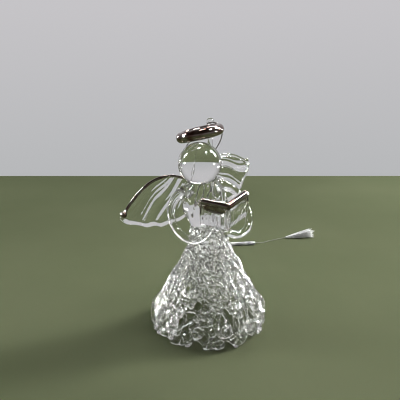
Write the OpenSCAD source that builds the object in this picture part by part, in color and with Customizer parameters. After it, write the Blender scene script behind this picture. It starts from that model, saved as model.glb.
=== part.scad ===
// Lampworked glass angel ornament: solid glass upper figure on a hollow spun-glass lace skirt,
// holding an open book, with a silvered halo and a thin hanging thread.
// Millimetres. The figure faces -Y and stands on z = 0.

/* [Skirt] */
// Height of the waist, where the upper figure stands on the skirt
waist_z = 26; // [20:0.5:32]
// Radius of the skirt at the waist
skirt_top_r = 5.6; // [4.8:0.1:6]
// Largest radius of the skirt, a little above the hem
skirt_wide_r = 17; // [14:0.5:20]
// Height of that largest radius
skirt_wide_z = 3; // [2:0.5:6]
// How far the hem draws in below that
hem_in = 1.2; // [0:0.1:2]
// Thickness of the lace
lace_t = 1.4; // [1:0.1:2]
// Each row of lace is this much shorter than the one below it
row_ratio = 0.84; // [0.7:0.01:0.95]
// Number of feet round the hem
hem_feet = 11; // [7:1:15]

/* [Upper figure] */
// Tilt of the whole upper figure, towards its right hand
lean = 7; // [0:1:10]
// Direction of that tilt, turned from -X
lean_turn = -25; // [-45:1:45]
// Radius of the torso just above the waist
torso_waist_r = 3.6; // [3:0.1:4]
// Radius of the chest
chest_r = 6.5; // [5:0.1:7]
// Height of the widest part of the chest above the waist
chest_h = 11; // [10:0.5:13]
// Radius of the neck
neck_r = 2.4; // [1.8:0.1:3]
// Radius of the ball that makes the head
head_r = 5.95; // [5:0.05:6.5]
// Height of the head's centre above the waist
head_h = 21.85; // [21:0.05:24]
// Radius of the arm rods
arm_r = 1.05; // [0.7:0.05:1.2]
// Radius of the arms where they leave the shoulders
shoulder_r = 2; // [1:0.1:2.2]

/* [Halo] */
// Radius of the halo's centreline
halo_r = 5.15; // [4:0.05:6]
// Radius of the halo's tube
halo_tube_r = 1.5; // [1:0.1:1.8]
// Height of the halo's centre above the waist
halo_h = 30; // [29:0.1:32]
// Tilt of the halo, front edge up
halo_tilt = 6; // [0:1:12]
// Tilt of the halo to the figure's right
halo_roll = 4; // [0:1:8]
// Radius of the halo's post
post_r = 0.9; // [0.6:0.1:1.2]

/* [Book] */
// Width of each leaf
leaf_w = 7.8; // [6:0.1:9]
// Height of each leaf along the spine
leaf_len = 9; // [6:0.1:10]
// Thickness of each leaf
leaf_t = 1.1; // [0.8:0.1:1.6]
// Angle of each leaf back from flat
leaf_angle = 30; // [10:1:45]
// How far the book's top leans away from the angel
book_tilt = 32; // [20:1:50]
// Turn of the book about the vertical
book_turn = -14; // [-25:1:10]
// Radius of the silvered rod along the book's edges
rim_r = 0.9; // [0.5:0.05:1]

/* [Wings] */
// Thickness of the pressed wing blades
wing_t = 1.5; // [1:0.1:2.2]
// Sweep of the right wing back from the side
right_sweep = 17; // [5:1:35]
// Sweep of the left wing back from the side
left_sweep = 24; // [5:1:35]
// Droop of the right-hand wing of the angel, on -X
right_droop = 22; // [0:1:35]
// Droop of the left-hand wing of the angel, on +X
left_droop = 2; // [-10:1:30]
// Depth of the left wing against the right one
left_chord = 1.15; // [0.9:0.05:1.2]
// Radius of the rod along the leading edge
wing_rod_r = 0.55; // [0.4:0.05:0.8]
// Radius of the bead at the wing's tip
tip_r = 0.95; // [0.7:0.05:1.2]

/* [Thread] */
// Diameter of the hanging thread
thread_d = 0.36; // [0.3:0.02:0.5]
// Diameter of the white wrapping
wrap_d = 1.9; // [1.4:0.1:2.4]
// Width of the tassel at its open end
tassel_w = 4; // [3:0.1:4.2]

/* [Hidden] */

$fn = 64;
GLASS = [0.86, 0.92, 0.90, 0.55];
SILVER = [0.72, 0.70, 0.70];
WHITE = [0.95, 0.95, 0.94];

axis_x = 0.86;         // the skirt's axis, which puts the box's middle at x = 0
pivot_r = 4.2;         // ball at the bottom of the torso, seated in the skirt's top row
torso_top = 17.4;      // top of the neck above the waist
rows = 8;
row_steps = 3;         // cone bands in one row
arch_r = 2.4;          // arch between two feet of the hem
arch_from = 8;         // each arch is cut outwards from here
eye_r = 0.75;          // centreline radius of the eyelet
eye_tube_r = 0.25;
eye_at = [5.6, 2.2, 32.3];      // above the waist, before the lean
halo_at = [1.2, 0, halo_h];
post_foot = [4.3, 1.9, 25.2];
post_head = [5.5, 2.2, 31.3];
hand_len = 2.2;
shoulder_steps = 6;     // points of an arm's path over which it thins out
spine_r = 1;          // a little thicker than the rods it joins
book_top = [0.6, -13.1, 11.7];  // top of the book's spine
wing_root = [2.9, 4.4, 17.7];   // top of the left wing's root, mirrored for the right wing

right_arm_path = [[-3, 0.8, 14.6], [-5.8, 0.1, 15.2], [-8.6, -0.7, 14], [-10.6, -1.7, 11.8],
                  [-11.3, -3, 9.2], [-11, -5, 6.6], [-9.6, -6.7, 4.7], [-7.6, -7.7, 3.9],
                  [-5.6, -7.9, 4.1], [-3.9, -7.6, 4.9]];
left_arm_path = [[3, 0.8, 14.2], [5.8, 0.1, 14.6], [8.6, -0.7, 13], [10.4, -1.7, 10.4],
                 [11.2, -2.8, 7.6], [11, -4.2, 4.8], [9.7, -5.6, 2.8], [7.8, -6.7, 1.9],
                 [5.4, -7.4, 1.9], [3.2, -7.6, 2.9]];

// The thread's two strands start in the eyelet and meet at the wrapping; the tail leaves it.
left_route = [[2.9, 3.9, 58.4], [2.8, 3.2, 58.5], [3.3, 2.5, 58.5], [4.2, 2.3, 58.3],
              [5.2, 2.7, 57.7], [6.2, 3.4, 56.7], [6.9, 4.4, 55.2], [7.1, 5.4, 53.5],
              [6.9, 6.4, 51.8], [6.2, 7.5, 49.8], [5.2, 8.4, 47.2], [4.1, 9, 43.5], [3.4, 9, 39.6],
              [3.2, 8.8, 35], [3.2, 8.5, 30.4], [3.2, 8.2, 26], [3.4, 8.6, 21.8],
              [3.9, 10.2, 17.4], [4.6, 12.6, 12.4], [5.4, 15.2, 7.2], [6.4, 17.6, 2.6],
              [7.8, 19.8, 0.6], [9.8, 22.4, 0.2], [12.6, 25.8, 0.2], [16.2, 30.2, 0.2],
              [20.2, 35.2, 0.2], [24.2, 40.2, 0.2], [27.8, 44.6, 0.2], [30.9, 48.6, 0.3],
              [32.6, 51.2, 0.6], [33.9, 53.1, 0.9], [35.3, 54, 1]];
right_route = [[2.9, 3.9, 58.4], [2.9, 4.6, 58.3], [2.9, 5.8, 57.7], [2.5, 7.4, 56.3],
               [1.1, 8.4, 54.8], [-0.8, 9, 52.8], [-2.2, 9.6, 50.5], [-2.4, 10, 47.8],
               [-1.4, 9.8, 44.8], [0, 9.4, 41.5], [1, 9.1, 38], [1.6, 8.8, 34],
               [1.9, 8.5, 30], [2, 8.2, 26], [2.2, 8.8, 21.8], [2.6, 10.5, 17.4],
               [3, 12.9, 12.4], [3.6, 15.5, 7.2], [4.5, 18, 2.6], [5.8, 20.4, 0.6],
               [7.6, 23, 0.2], [10.4, 26.6, 0.2], [14.2, 31, 0.2], [18.4, 36, 0.2],
               [22.6, 41, 0.2], [26.2, 45.4, 0.2], [29.4, 49.4, 0.3], [31.6, 52.2, 0.6],
               [33.4, 54.2, 0.9], [35.4, 54.8, 1]];
wrap_ends = [[35.4, 54.4, 1], [47.2, 50.4, 1]];
tail_route = [[47.25, 50.4, 1], [48.9, 50.4, 0.6], [51.2, 50.9, 0.2], [54.6, 51.6, 0.2],
              [58.4, 51.9, 0.2], [61.9, 51.7, 0.4], [63.6, 51.4, 0.6]];
tassel_ends = [[63.6, 51.4, 0.6], [75.6, 48, 2.1]];
tassel_spread = [0.2, 0.36, 0.56, 0.8, 1];  // share of its full width along the tassel

// Height of the lower edge of row i, counted from 0 at the hem
function row_z(i) = waist_z * (1 - pow(row_ratio, i)) / (1 - pow(row_ratio, rows));
// Outer radius of the skirt at height z
function skirt_r(z) = z > skirt_wide_z
    ? skirt_top_r + (skirt_wide_r - skirt_top_r)
        * pow((waist_z - z) / (waist_z - skirt_wide_z), 1.1)
    : skirt_wide_r - hem_in * pow(1 - z / skirt_wide_z, 2);
// Radius of the torso at height h above the waist
function torso_r(h) = h < chest_h
    ? torso_waist_r + (chest_r - torso_waist_r) * (1 - cos(180 * h / chest_h)) / 2
    : neck_r + (chest_r - neck_r) * sqrt(1 - pow((h - chest_h) / (torso_top - chest_h), 2));

function unit(v) = v / norm(v);
function tangent(path, i) = unit(path[min(i + 1, len(path) - 1)] - path[max(i - 1, 0)]);
function ring(centre, t, r, sides, ref) =
    let (a = unit(cross(t, ref)), b = cross(t, a))
    [for (k = [0:sides - 1]) centre + r * (a * cos(360 * k / sides) + b * sin(360 * k / sides))];

// Closed tube of radius radii[i] swept along the points of a path
module swept_tube(path, radii, sides = 12, ref = [0.3, 0.2, 1]) {
    n = len(path);
    points = [for (i = [0:n - 1]) each ring(path[i], tangent(path, i), radii[i], sides, ref)];
    sides_faces = [for (i = [0:n - 2], k = [0:sides - 1])
        let (k2 = (k + 1) % sides)
        each [[i * sides + k, i * sides + k2, (i + 1) * sides + k2],
              [i * sides + k, (i + 1) * sides + k2, (i + 1) * sides + k]]];
    caps = [[for (k = [sides - 1:-1:0]) k], [for (k = [0:sides - 1]) (n - 1) * sides + k]];
    polyhedron(points, concat(sides_faces, caps));
}

// Points half way along each step of a path, bent as the path bends, to round it off
function smoother(p) = [for (i = [0:len(p) - 1]) each i == len(p) - 1 ? [p[i]] :
    let (before = p[max(i - 1, 0)], after = p[min(i + 2, len(p) - 1)])
    [p[i], 9 / 16 * (p[i] + p[i + 1]) - 1 / 16 * (before + after)]];

// A flat outline moved down by d, square to itself
function below(line, d) = [for (i = [0:len(line) - 1])
    let (t = tangent(line, i)) line[i] + d * [t.y, -t.x]];

module figure() translate([axis_x, 0, 0]) children();

// Stands its children, drawn upright from the waist up, on the waist with the figure's lean
module upper()
    figure() translate([0, 0, waist_z])
        rotate([0, 0, lean_turn]) rotate([0, -lean, 0]) rotate([0, 0, -lean_turn]) children();

module torso() {
    rotate_extrude() polygon(concat([[0, 0]],
        [for (k = [0:24]) let (h = torso_top * k / 24) [torso_r(h), h]], [[0, torso_top]]));
    sphere(pivot_r);
}

module head() color(GLASS) upper() translate([0, 0, head_h]) sphere(head_r);

module bodice() color(GLASS) upper() difference() {
    torso();
    translate([0, 0, head_h]) sphere(head_r);
}

module waist_band() color(GLASS) upper() difference() {
    translate([0, 0, 1.3]) cylinder(h = 3.4, r1 = 5.4, r2 = 4.6);
    torso();
}

module halo() color(SILVER) upper() difference() {
    translate(halo_at) rotate([-halo_tilt, -halo_roll, 0])
        rotate_extrude() translate([halo_r, 0]) circle(halo_tube_r);
    post();
}

module post() {
    along = post_head - post_foot;
    translate(post_foot)
        rotate([0, acos(along.z / norm(along)), atan2(along.y, along.x)])
            cylinder(h = norm(along), r = post_r);
}

module halo_post() color(GLASS) upper() difference() {
    post();
    translate([0, 0, head_h]) sphere(head_r);
}

module hanging_eyelet() color(GLASS) upper() difference() {
    translate(eye_at) rotate([90, 0, -20])
        rotate_extrude() translate([eye_r, 0]) circle(eye_tube_r);
    post();
}

module arm(path) difference() {
    swept_tube(smoother(path), [for (i = [0:2 * len(path) - 2])
        arm_r + (shoulder_r - arm_r) * pow(max(0, 1 - i / shoulder_steps), 1.5)]);
    torso();
}

// Drop of glass that goes on from the end of an arm and carries the book
module hand(path) {
    line = smoother(path);
    end = line[len(line) - 1];
    along = unit(end - line[len(line) - 2]);
    swept_tube([for (k = [0:5]) end + along * hand_len * k / 5],
               arm_r * [1, 1.15, 1.25, 1.2, 0.95, 0.45]);
}

module right_arm() color(GLASS) upper() arm(right_arm_path);
module left_arm() color(GLASS) upper() arm(left_arm_path);
module right_hand() color(GLASS) difference() {
    upper() hand(right_arm_path);
    book_place() leaf(-1);
}
module left_hand() color(GLASS) difference() {
    upper() hand(left_arm_path);
    book_place() leaf(1);
}

// Puts the book's own axes on the figure: origin at the top of the spine, leaves towards +X
// and -X, down the spine along -Z
module book_place() upper() translate(book_top) rotate([book_tilt, 0, book_turn]) children();

module leaf_turn(side) rotate([0, 0, side * leaf_angle]) children();

module spine_rod() translate([0, leaf_t / 2, -leaf_len]) cylinder(h = leaf_len + spine_r, r = spine_r);

// Rod along a leaf's top edge, from inside the spine outwards
module rim_rod(side) leaf_turn(side) translate([side * rim_r / 2, leaf_t / 2, 0])
    rotate([0, side * 90, 0]) cylinder(h = leaf_w - rim_r / 2, r = rim_r);

// Slab that runs into the spine and into the rod above it, and is cut to both
module leaf(side) difference() {
    leaf_turn(side) translate([side > 0 ? rim_r : -leaf_w, 0, -leaf_len])
        cube([leaf_w - rim_r, leaf_t, leaf_len - 0.4 * rim_r]);
    rim_rod(side);
    spine_rod();
}

module rim(side) difference() {
    rim_rod(side);
    spine_rod();
}

module book_right_leaf() color(GLASS) book_place() leaf(-1);
module book_left_leaf() color(GLASS) book_place() leaf(1);
module book_spine() color(GLASS) book_place() spine_rod();
module book_right_rim() color(SILVER) book_place() rim(-1);
module book_left_rim() color(SILVER) book_place() rim(1);

// Outline of a wing blade: root at the origin, tip out along +X
wing_front = [[0, 0], [3, 2.6], [6, 3.7], [9, 3.9], [12, 3.4], [15, 2.4], [17.6, 1.2], [19.4, 0.2]];
wing_back = [[21.6, -0.9], [20.9, -2.9], [18.8, -4.5], [17.6, -5.6], [16.4, -6.8], [14.2, -7.6],
             [12.8, -8.8], [10, -9.2], [7.6, -9.9], [4.4, -9.4], [2, -8], [0.2, -5.4]];
rod_clear = wing_rod_r + 0.03;  // the blade starts this far below the rod's centreline
groove_w = 0.6;
bead_reach = 0.78;     // from the rod's end to the bead's centre

module right_place() upper() mirror([1, 0, 0])
    translate(wing_root) rotate([0, right_droop, right_sweep]) children();
module left_place() upper()
    translate(wing_root) rotate([0, left_droop, left_sweep]) children();

// Pressed blade with feather grooves on both faces, cleared for the bead at its tip
module blade(chord = 1) difference() {
    rotate([90, 0, 0]) difference() {
        translate([0, 0, -wing_t / 2]) linear_extrude(wing_t)
            polygon(concat(below(smoother(wing_front), rod_clear),
                           [for (p = wing_back) [p.x, p.y * chord]]));
        for (k = [0:5], face = [-1, 1])
            translate([2, 1.6 - 1.1 * k, face * wing_t / 2]) rotate([0, 0, -8 - 9 * k])
                rotate([45, 0, 0]) translate([0, -groove_w / 2, -groove_w / 2])
                    cube([14 - 1.4 * k, groove_w, groove_w]);
    }
    at_tip() sphere(tip_r + 0.02);
}

// Moves its children to the centre of the bead, which is cut flat against the rod's end
module at_tip() {
    end = wing_front[len(wing_front) - 1];
    before = wing_front[len(wing_front) - 2];
    translate([end.x, 0, end.y]) rotate([0, atan2(before.y - end.y, end.x - before.x), 0])
        translate([bead_reach, 0, 0]) children();
}

module wing_rod()
    swept_tube([for (p = smoother(wing_front)) [p.x, 0, p.y]],
               [for (i = [0:2 * len(wing_front) - 2]) wing_rod_r], 10, [0, 1, 0]);

module wing_tip() at_tip() difference() {
    sphere(tip_r);
    translate([-bead_reach - 2 * tip_r, -tip_r, -tip_r]) cube(2 * tip_r);
}

module right_wing() color(GLASS) difference() {
    right_place() blade();
    upper() torso();
}
module left_wing() color(GLASS) difference() {
    left_place() blade(left_chord);
    upper() torso();
}
module right_wing_rod() color(SILVER) right_place() wing_rod();
module left_wing_rod() color(GLASS) left_place() wing_rod();
module right_wing_tip() color(SILVER) right_place() wing_tip();
module left_wing_tip() color(GLASS) left_place() wing_tip();

// One row of lace: a short conical band, row 1 at the waist and row 8 at the hem
module lace_band(i) {
    z0 = row_z(i);
    z1 = row_z(i + 1);
    levels = [for (k = [0:row_steps]) z0 + (z1 - z0) * k / row_steps];
    figure() rotate_extrude() polygon(concat(
        [for (z = levels) [skirt_r(z), z]],
        [for (k = [row_steps:-1:0]) [skirt_r(levels[k]) - lace_t, levels[k]]]));
}

module skirt_row(number) color(GLASS) {
    if (number == 1)
        difference() {
            lace_band(rows - 1);
            upper() sphere(pivot_r);
        }
    else if (number == rows)
        difference() {
            lace_band(0);
            for (k = [0:hem_feet - 1])
                figure() rotate([0, 0, 360 * k / hem_feet]) translate([arch_from, 0, 0])
                    rotate([0, 90, 0]) cylinder(h = skirt_wide_r, r = arch_r, $fn = 12);
        }
    else
        lace_band(rows - number);
}

module thread_left() color(WHITE)
    swept_tube(left_route, [for (p = left_route) thread_d / 2], 8, [1, -0.6, 0.1]);
module thread_right() color(WHITE)
    swept_tube(right_route, [for (p = right_route) thread_d / 2], 8, [1, -0.6, 0.1]);
module thread_tail() color(WHITE)
    swept_tube(tail_route, [for (p = tail_route) thread_d / 2], 8);

module thread_wrap() color(WHITE)
    swept_tube([for (k = [0:4]) wrap_ends[0] + (wrap_ends[1] - wrap_ends[0]) * k / 4],
               wrap_d / 2 * [0.7, 1, 0.9, 1, 0.7]);

module tassel() color(WHITE)
    swept_tube([for (k = [0:4]) tassel_ends[0] + (tassel_ends[1] - tassel_ends[0]) * k / 4],
               tassel_w / 2 * tassel_spread);

head();
bodice();
waist_band();
halo();
halo_post();
hanging_eyelet();
right_arm();
left_arm();
right_hand();
left_hand();
book_right_leaf();
book_left_leaf();
book_spine();
book_right_rim();
book_left_rim();
right_wing();
left_wing();
right_wing_rod();
left_wing_rod();
right_wing_tip();
left_wing_tip();
for (i = [1:rows])
    skirt_row(i);
thread_left();
thread_right();
thread_wrap();
thread_tail();
tassel();
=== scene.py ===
import math

import bmesh
import bpy
import numpy as np
from mathutils import Matrix, Vector


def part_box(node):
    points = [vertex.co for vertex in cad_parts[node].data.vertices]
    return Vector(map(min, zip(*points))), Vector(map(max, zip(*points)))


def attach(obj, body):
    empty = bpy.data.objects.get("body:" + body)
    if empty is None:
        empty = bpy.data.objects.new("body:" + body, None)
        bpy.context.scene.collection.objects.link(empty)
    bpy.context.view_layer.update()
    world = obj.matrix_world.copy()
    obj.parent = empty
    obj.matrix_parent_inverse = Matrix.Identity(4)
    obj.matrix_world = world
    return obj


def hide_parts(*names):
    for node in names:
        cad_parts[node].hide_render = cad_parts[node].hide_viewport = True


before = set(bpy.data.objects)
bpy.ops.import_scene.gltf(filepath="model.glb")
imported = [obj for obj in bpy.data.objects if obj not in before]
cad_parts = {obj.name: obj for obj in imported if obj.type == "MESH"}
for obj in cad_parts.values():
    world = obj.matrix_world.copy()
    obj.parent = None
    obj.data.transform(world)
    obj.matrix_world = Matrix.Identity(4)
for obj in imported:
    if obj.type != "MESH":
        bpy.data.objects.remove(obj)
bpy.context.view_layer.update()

# Shapes are worked out in millimetres, in the CAD's frame, and go into Blender in metres.
MM = 0.001


# ---------------------------------------------------------------- places taken from the CAD

def box_mm(node):
    low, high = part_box(node)
    return np.array(low) / MM, np.array(high) / MM


ROWS = [f"skirt_row_{i}" for i in range(1, 9)]
row_boxes = {row: box_mm(row) for row in ROWS}
skirt_middle = sum(row_boxes["skirt_row_5"]) / 2
WAIST = np.array([skirt_middle[0], skirt_middle[1], row_boxes["skirt_row_1"][1][2]])
HEAD = sum(box_mm("head")) / 2
HEAD_R = (box_mm("head")[1] - box_mm("head")[0])[0] / 2
HEAD_H = float(np.linalg.norm(HEAD - WAIST))

# The upper figure is drawn upright above the waist and leans as the CAD's head does.
LEAN = Vector((0, 0, 1)).rotation_difference(Vector(HEAD - WAIST)).to_matrix()
LEAN = np.array(LEAN)


def upper(points):
    return np.asarray(points, float) @ LEAN.T + WAIST


def turn(points, angle, axis):
    return np.asarray(points, float) @ np.array(Matrix.Rotation(math.radians(angle), 3, axis)).T


# ---------------------------------------------------------------- mesh helpers

def smooth_line(points, per=6, closed=False):
    """A Catmull-Rom curve through the points."""
    p = np.asarray(points, float)
    n = len(p)
    out = []
    for i in range(n if closed else n - 1):
        a, b = p[i], p[(i + 1) % n]
        before = p[(i - 1) % n] if closed or i > 0 else 2 * a - b
        after = p[(i + 2) % n] if closed or i + 2 < n else 2 * b - a
        for k in range(per):
            t = k / per
            out.append(0.5 * (2 * a + (b - before) * t
                              + (2 * before - 5 * a + 4 * b - after) * t * t
                              + (3 * a - before - 3 * b + after) * t ** 3))
    if not closed:
        out.append(p[-1])
    return np.array(out)


def tangents(path, closed):
    if closed:
        t = np.roll(path, -1, 0) - np.roll(path, 1, 0)
    else:
        t = np.gradient(path, axis=0)
    return t / np.linalg.norm(t, axis=1)[:, None]


NO_PATH_START = (0.31, 0.17, 1.0)     # no path here starts in this direction


def frames_along(path, closed):
    """Two directions square to the path at each point, that turn as little as they can."""
    t = tangents(path, closed)
    first = np.cross(t[0], NO_PATH_START)
    first /= np.linalg.norm(first)
    side = [first]
    for i in range(1, len(path)):
        s = side[-1] - t[i] * (side[-1] @ t[i])
        side.append(s / np.linalg.norm(s))
    side = np.array(side)
    up = np.cross(t, side)
    if closed:
        last = side[-1] - t[0] * (side[-1] @ t[0])
        slip = math.atan2(last @ np.cross(t[0], first), last @ first)
        a = -slip * np.arange(len(path)) / len(path)
        side, up = (side * np.cos(a)[:, None] + up * np.sin(a)[:, None],
                    up * np.cos(a)[:, None] - side * np.sin(a)[:, None])
    return side, up


def tube(path, radii, sides=12, closed=False, start=0):
    """Vertices and faces of a round tube. Its faces count vertices from start."""
    path = np.asarray(path, float)
    n = len(path)
    radii = np.broadcast_to(np.asarray(radii, float), (n,))
    side, up = frames_along(path, closed)
    a = 2 * math.pi * np.arange(sides) / sides
    ring = (side[:, None, :] * np.cos(a)[None, :, None] + up[:, None, :] * np.sin(a)[None, :, None])
    verts = (path[:, None, :] + radii[:, None, None] * ring).reshape(-1, 3)
    i = np.arange(n if closed else n - 1)[:, None]
    k = np.arange(sides)[None, :]
    j, k2 = (i + 1) % n, (k + 1) % sides
    faces = np.stack([i * sides + k, i * sides + k2, j * sides + k2, j * sides + k], -1)
    faces = (faces.reshape(-1, 4) + start).tolist()
    if not closed:
        faces.append([start + k for k in range(sides - 1, -1, -1)])
        faces.append([start + (n - 1) * sides + k for k in range(sides)])
    return verts, faces


def rounded(count, radius, end=0.3, share=0.06):
    """Radii along a rod whose two ends are melted round."""
    s = np.linspace(0, 1, count)
    near = np.minimum(np.minimum(s, 1 - s) / share, 1)
    return radius * (end + (1 - end) * np.sqrt(1 - (1 - near) ** 2))


def slab_faces(wide, deep):
    """Faces of a closed slab: one sheet of wide by deep points, a second one, and the edge between."""
    count = wide * deep
    faces = []
    for layer in (0, count):
        faces += [[layer + i * deep + k, layer + i * deep + k + 1, layer + (i + 1) * deep + k + 1,
                   layer + (i + 1) * deep + k] for i in range(wide - 1) for k in range(deep - 1)]
    edge = ([i * deep for i in range(wide)] + [(wide - 1) * deep + k for k in range(1, deep)]
            + [i * deep + deep - 1 for i in range(wide - 2, -1, -1)] + list(range(deep - 2, 0, -1)))
    return faces + [[a, b, b + count, a + count] for a, b in zip(edge, edge[1:] + edge[:1])]


def ball(centre, radius, detail=5, stretch=(1, 1, 1)):
    bm = bmesh.new()
    bmesh.ops.create_icosphere(bm, subdivisions=detail, radius=1)
    verts = np.array([v.co for v in bm.verts]) * radius * np.array(stretch) + centre
    faces = [[v.index for v in f.verts] for f in bm.faces]
    bm.free()
    return verts, faces


def wander(rng, count, waves=7, fastest=24):
    """Smooth closed wandering between about -1 and 1."""
    a = np.linspace(0, 2 * np.pi, count, endpoint=False)
    speeds = rng.integers(1, fastest, waves)
    phases = rng.uniform(0, 2 * np.pi, waves)
    return np.sin(np.outer(a, speeds) + phases).sum(1) / math.sqrt(waves) / 1.3


class Shell:
    """Several closed surfaces that make one mesh."""

    def __init__(self):
        self.verts, self.faces, self.air = [], [], []

    def add(self, verts, faces):
        start = sum(len(v) for v in self.verts)
        self.verts.append(np.asarray(verts, float))
        self.faces += [[start + i for i in f] for f in faces]

    def add_tube(self, path, radii, sides=12, closed=False):
        self.add(*tube(path, radii, sides, closed))

    def add_air(self, verts, faces):
        """A bubble of air: a surface that faces inwards."""
        self.air += range(len(self.faces), len(self.faces) + len(faces))
        self.add(verts, faces)

    def object(self, name):
        mesh = bpy.data.meshes.new(name)
        mesh.from_pydata(np.concatenate(self.verts).tolist(), [], self.faces)
        bm = bmesh.new()
        bm.from_mesh(mesh)
        bmesh.ops.recalc_face_normals(bm, faces=bm.faces)
        bm.faces.ensure_lookup_table()
        bmesh.ops.reverse_faces(bm, faces=[bm.faces[i] for i in self.air])
        bm.to_mesh(mesh)
        bm.free()
        obj = bpy.data.objects.new(name, mesh)
        bpy.context.scene.collection.objects.link(obj)
        return obj


def baked(obj):
    """Applies an object's modifiers, and leaves it with none."""
    depsgraph = bpy.context.evaluated_depsgraph_get()
    mesh = bpy.data.meshes.new_from_object(obj.evaluated_get(depsgraph))
    obj.modifiers.clear()
    obj.data = mesh
    mesh.name = obj.name


def fuse(obj, voxel, rounds=2):
    """Melts overlapping surfaces, in millimetres, into one skin with soft joints."""
    remesh = obj.modifiers.new("melt", "REMESH")
    remesh.mode = "VOXEL"
    remesh.voxel_size = voxel
    remesh.use_smooth_shade = True
    soften = obj.modifiers.new("soften", "SMOOTH")
    soften.factor = 0.5
    soften.iterations = rounds
    baked(obj)


def piece(obj, material, slot, *nodes, smooth=True):
    """Turns a mesh made in millimetres into a finished piece in metres that stands for CAD nodes."""
    obj.data.transform(Matrix.Scale(MM, 4))
    obj.data.materials.clear()
    obj.data.materials.append(material)
    if smooth:
        obj.data.polygons.foreach_set("use_smooth", [True] * len(obj.data.polygons))
    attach(obj, "root")
    if nodes:
        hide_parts(*nodes)
    return obj


# ---------------------------------------------------------------- materials

def new_material(name):
    material = bpy.data.materials.new(name)
    material.use_nodes = True
    tree = material.node_tree
    return material, tree, tree.nodes["Principled BSDF"]


def noise_of(tree, scale, detail=2.0, stretch=(1, 1, 1)):
    where = tree.nodes.new("ShaderNodeTexCoord")
    place = tree.nodes.new("ShaderNodeMapping")
    place.inputs["Scale"].default_value = stretch
    texture = tree.nodes.new("ShaderNodeTexNoise")
    texture.inputs["Scale"].default_value = scale
    texture.inputs["Detail"].default_value = detail
    tree.links.new(where.outputs["Object"], place.inputs["Vector"])
    tree.links.new(place.outputs["Vector"], texture.inputs["Vector"])
    return texture.outputs["Fac"]


def ranged(tree, value, low, high, start=0.0, end=1.0):
    node = tree.nodes.new("ShaderNodeMapRange")
    node.inputs["From Min"].default_value = low
    node.inputs["From Max"].default_value = high
    node.inputs["To Min"].default_value = start
    node.inputs["To Max"].default_value = end
    tree.links.new(value, node.inputs["Value"])
    return node.outputs["Result"]


def two_colours(tree, factor, first, second):
    ramp = tree.nodes.new("ShaderNodeValToRGB")
    ramp.color_ramp.elements[0].color = (*first, 1)
    ramp.color_ramp.elements[1].color = (*second, 1)
    tree.links.new(factor, ramp.inputs["Fac"])
    return ramp.outputs["Color"]


def bumped(tree, shader, height, strength, distance):
    bump = tree.nodes.new("ShaderNodeBump")
    bump.inputs["Strength"].default_value = strength
    bump.inputs["Distance"].default_value = distance
    tree.links.new(height, bump.inputs["Height"])
    tree.links.new(bump.outputs["Normal"], shader.inputs["Normal"])


def painted_edge_shade(tree, colour, start, edge):
    """Painted shade: the glass takes a dark outline in its colour where it turns away, standing in for
    its long path and the room's dark side.
    """
    weight = tree.nodes.new("ShaderNodeLayerWeight")
    weight.inputs["Blend"].default_value = 0.5
    mix = tree.nodes.new("ShaderNodeMix")
    mix.data_type = "RGBA"
    mix.blend_type = "MIX"
    tree.links.new(ranged(tree, weight.outputs["Facing"], start, 0.9), mix.inputs["Factor"])
    first, second = [i for i in mix.inputs if i.type == "RGBA"]
    tree.links.new(colour, first)
    second.default_value = (*edge, 1)
    return [o for o in mix.outputs if o.type == "RGBA"][0]


GLASS_IOR = 1.5
GREENISH, COLOURLESS = (0.985, 0.995, 0.985), (1, 1, 1)
SILVER, THIN_SILVER = (0.38, 0.34, 0.32), (0.18, 0.10, 0.08)


def glass(name, roughest, wave_scale, wave_depth, painted_shade_start, edge, smoothest=0.0):
    """Clear glass worked in a flame: slow waves, and a faint haze where it was touched."""
    material, tree, shader = new_material(name)
    shader.inputs["Transmission Weight"].default_value = 1.0
    shader.inputs["IOR"].default_value = GLASS_IOR
    haze = noise_of(tree, wave_scale * 2.3, 3)
    tree.links.new(ranged(tree, haze, 0.45, 0.75, smoothest, roughest), shader.inputs["Roughness"])
    tint = noise_of(tree, wave_scale * 0.6)
    clear = two_colours(tree, ranged(tree, tint, 0.3, 0.7), GREENISH, COLOURLESS)
    # Painted shade: the base colour darkens to a dark outline where the glass turns away from the view.
    tree.links.new(painted_edge_shade(tree, clear, painted_shade_start, edge), shader.inputs["Base Color"])
    bumped(tree, shader, noise_of(tree, wave_scale), 1.0, wave_depth)
    return material


def silvered(name):
    """Mirror coat fired on the glass: bright, a little warm, thin and brown in places."""
    material, tree, shader = new_material(name)
    shader.inputs["Metallic"].default_value = 1.0
    patches = ranged(tree, noise_of(tree, 420, 3), 0.42, 0.66)
    tree.links.new(two_colours(tree, patches, SILVER, THIN_SILVER),
                   shader.inputs["Base Color"])
    tree.links.new(ranged(tree, noise_of(tree, 900, 4), 0.4, 0.8, 0.03, 0.2),
                   shader.inputs["Roughness"])
    bumped(tree, shader, noise_of(tree, 500), 1.0, 0.00004)
    return material


def fibre(name, dark, pale, see_through, fine):
    """Thread: mottled between two colours, with a fine grain."""
    material, tree, shader = new_material(name)
    shader.inputs["Transmission Weight"].default_value = see_through
    tree.links.new(two_colours(tree, ranged(tree, noise_of(tree, fine, 4), 0.35, 0.65), dark, pale),
                   shader.inputs["Base Color"])
    tree.links.new(ranged(tree, noise_of(tree, fine * 2, 2), 0.3, 0.7, 0.25, 0.5),
                   shader.inputs["Roughness"])
    bumped(tree, shader, noise_of(tree, fine * 3, 2), 0.6, 0.00003)
    return material


# The last numbers of each glass set its painted shade: where the dark outline begins, and its colour.
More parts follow.
